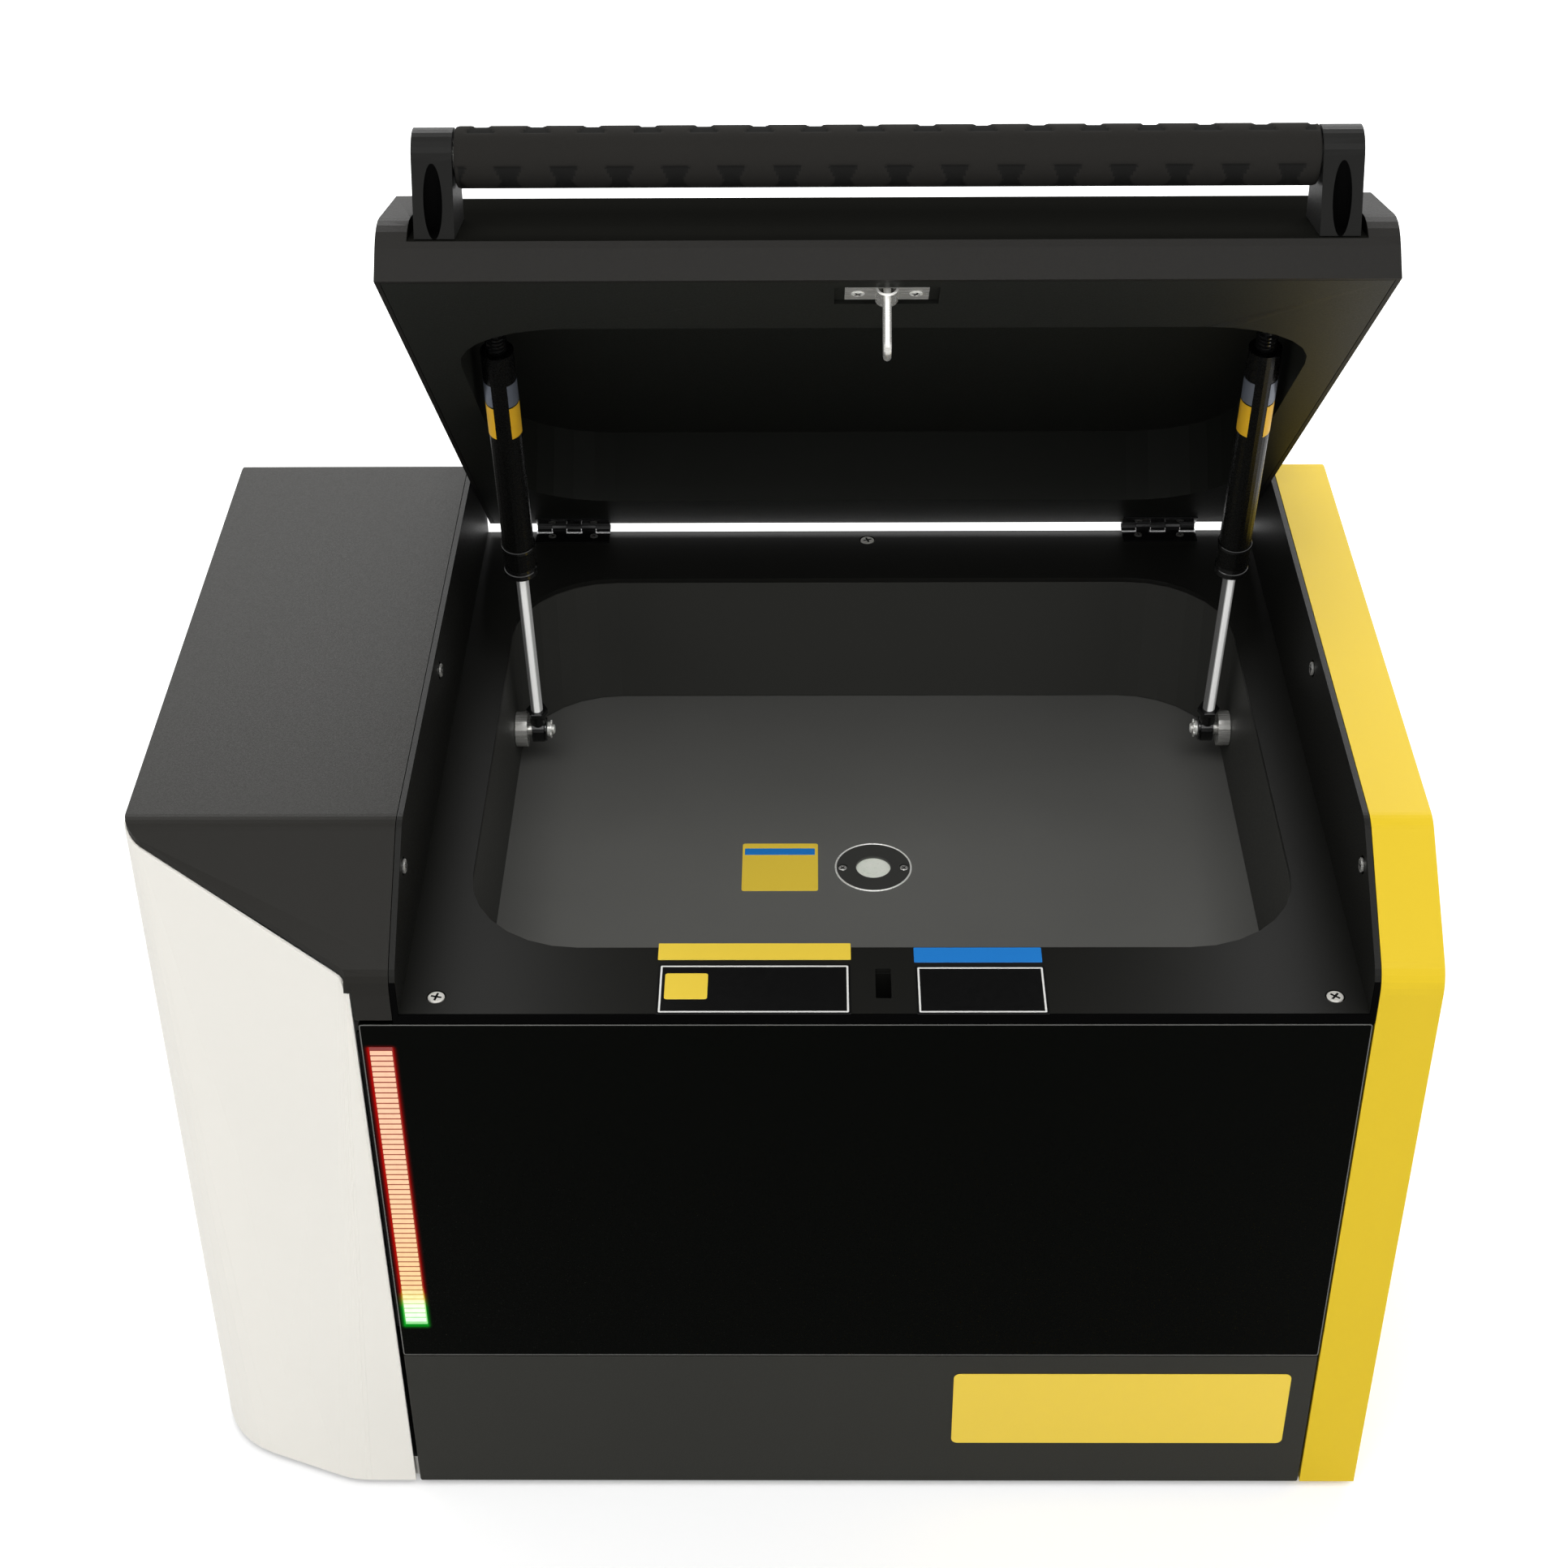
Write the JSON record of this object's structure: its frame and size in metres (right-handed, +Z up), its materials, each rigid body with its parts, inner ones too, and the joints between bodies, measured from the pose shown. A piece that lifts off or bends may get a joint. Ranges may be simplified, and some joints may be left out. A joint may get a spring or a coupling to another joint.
{
  "type": "x-ray fluorescence analyzer",
  "caption": "Bench-top x-ray fluorescence analyzer with a gas-sprung lid that tilts up from a sample chamber, a glass front, a light bar, side covers and inner optics.",
  "frame": {"origin": "centre of the underside of the base pan's centre pad, above the soles of the rubber feet", "axes": "+X to the right seen from the front, +Y to the back, +Z up; the lid stands open at rest"},
  "size_m": [0.5516, 0.4099, 0.6286],
  "materials": {
    "dark_grey_paint": "fine textured satin powder coat",
    "black_satin_paint": "smooth satin black paint",
    "grey_paint": "flat grey paint",
    "white_cover_paint": "smooth satin warm white paint",
    "yellow_cover_paint": "smooth satin yellow paint",
    "black_glass": "polished, dark behind",
    "light_bar_diffuser": "lit diffuser",
    "bright_steel": "bright turned or rolled steel",
    "chrome_rod": "polished hard chrome",
    "black_rubber": "matt moulded rubber",
    "black_plastic": "moulded, slightly shiny",
    "zinc_sheet": "plain zinc plate",
    "window_film": "thin milky film",
    "circuit_board": "green solder mask",
    "brass": "machined",
    "cast_grey": "grey cast housing",
    "module_case": "plain folded case",
    "blackened_steel": "glossy black finish on steel"
  },
  "bodies": {
    "body": {"base_pan": "zinc_sheet", "bay_liner": "black_satin_paint", "board_tray": "zinc_sheet", "chamber_floor": "grey_paint", "chamber_tub": "black_satin_paint", "detector": "bright_steel", "detector_clamp": "zinc_sheet", "display_module": "module_case", "fan_frame": "black_plastic", "fan_guard": "bright_steel", "filter_motor": "bright_steel", "front_glass": "black_glass", "high_voltage_supply": "module_case", "hinge_body_leaf_left": "blackened_steel", "hinge_body_leaf_right": "blackened_steel", "led_board": "circuit_board", "led_light_bar": "light_bar_diffuser", "left_side_cover": "white_cover_paint", "left_top_cover": "dark_grey_paint", "lock_housing": "black_plastic", "lock_solenoid": "bright_steel", "lower_front_panel": "dark_grey_paint", "main_board": "circuit_board", "optics_block": "brass", "optics_stand": "zinc_sheet", "power_inlet": "black_plastic", "power_supply": "module_case", "rear_panel": "dark_grey_paint", "right_side_cover": "yellow_cover_paint", "rocker_frame": "black_plastic", "rubber_foot_front_left": "black_rubber", "rubber_foot_front_right": "black_rubber", "rubber_foot_rear_left": "black_rubber", "rubber_foot_rear_right": "black_rubber", "source_clamp": "zinc_sheet", "strut_stud_left": "bright_steel", "strut_stud_right": "bright_steel", "window_film": "window_film", "window_ring": "blackened_steel", "xray_tube": "cast_grey"},
    "lid": {"lid_shell": "black_satin_paint", "lid_inner_pan": "black_satin_paint", "handle_bracket_left": "black_plastic", "handle_bracket_right": "black_plastic", "handle_core": "bright_steel", "handle_grip": "black_rubber", "striker_plate": "bright_steel", "striker_loop": "bright_steel", "lid_strut_pad_left": "bright_steel", "lid_strut_pad_right": "bright_steel", "hinge_lid_leaf_left": "blackened_steel", "hinge_lid_leaf_right": "blackened_steel"},
    "left_rod": {"strut_rod_left": "chrome_rod"},
    "left_tube": {"strut_tube_left": "black_plastic"},
    "right_rod": {"strut_rod_right": "chrome_rod"},
    "right_tube": {"strut_tube_right": "black_plastic"},
    "bolt": {"lock_bolt": "bright_steel"},
    "rocker": {"power_rocker": "black_plastic"},
    "fan": {"fan_rotor": "black_plastic"},
    "wheel": {"filter_wheel": "brass"}
  },
  "joints": [
    {"name": "lid_hinge", "type": "hinge", "parent": "body", "child": "lid", "pos_m": [0, 0.1949, 0.30055], "axis": [1, 0, 0], "range_deg": [0, 45.3], "stiffness_Nm_per_rad": 12, "springref_deg": -57.3},
    {"name": "left_strut_swing", "type": "hinge", "parent": "body", "child": "left_rod", "pos_m": [-0.12385, 0.08, 0.25], "axis": [1, 0, 0], "range_deg": [0, 51.4]},
    {"name": "left_strut_slide", "type": "slide", "parent": "left_rod", "child": "left_tube", "axis": [0, -0.1951, 0.9808], "range_m": [-0.0945, 0]},
    {"name": "right_strut_swing", "type": "hinge", "parent": "body", "child": "right_rod", "pos_m": [0.21565, 0.08, 0.25], "axis": [1, 0, 0], "range_deg": [0, 51.4]},
    {"name": "right_strut_slide", "type": "slide", "parent": "right_rod", "child": "right_tube", "axis": [0, -0.1951, 0.9808], "range_m": [-0.0945, 0]},
    {"name": "lock_bolt_slide", "type": "slide", "parent": "body", "child": "bolt", "axis": [-1, 0, 0], "range_m": [0, 0.0085], "stiffness_N_per_m": 120},
    {"name": "power_rocker_tilt", "type": "hinge", "parent": "body", "child": "rocker", "pos_m": [-0.20975, 0.189, 0.038], "axis": [0, 0, 1], "range_deg": [0, 18]},
    {"name": "fan_spin", "type": "hinge", "parent": "body", "child": "fan", "pos_m": [0.18575, 0.1672, 0.14], "axis": [0, 1, 0], "continuous": true},
    {"name": "filter_wheel_spin", "type": "hinge", "parent": "body", "child": "wheel", "pos_m": [0.06515, 0.0276, 0.18935], "axis": [0.7071, 0, -0.7071], "continuous": true}
  ],
  "couplings": [
    {"joint": "left_strut_swing", "follows": "lid_hinge", "ratio": 1.1298},
    {"joint": "left_strut_slide", "follows": "lid_hinge", "m_per_rad": -0.11926},
    {"joint": "right_strut_swing", "follows": "lid_hinge", "ratio": 1.1298},
    {"joint": "right_strut_slide", "follows": "lid_hinge", "m_per_rad": -0.11926}
  ]
}
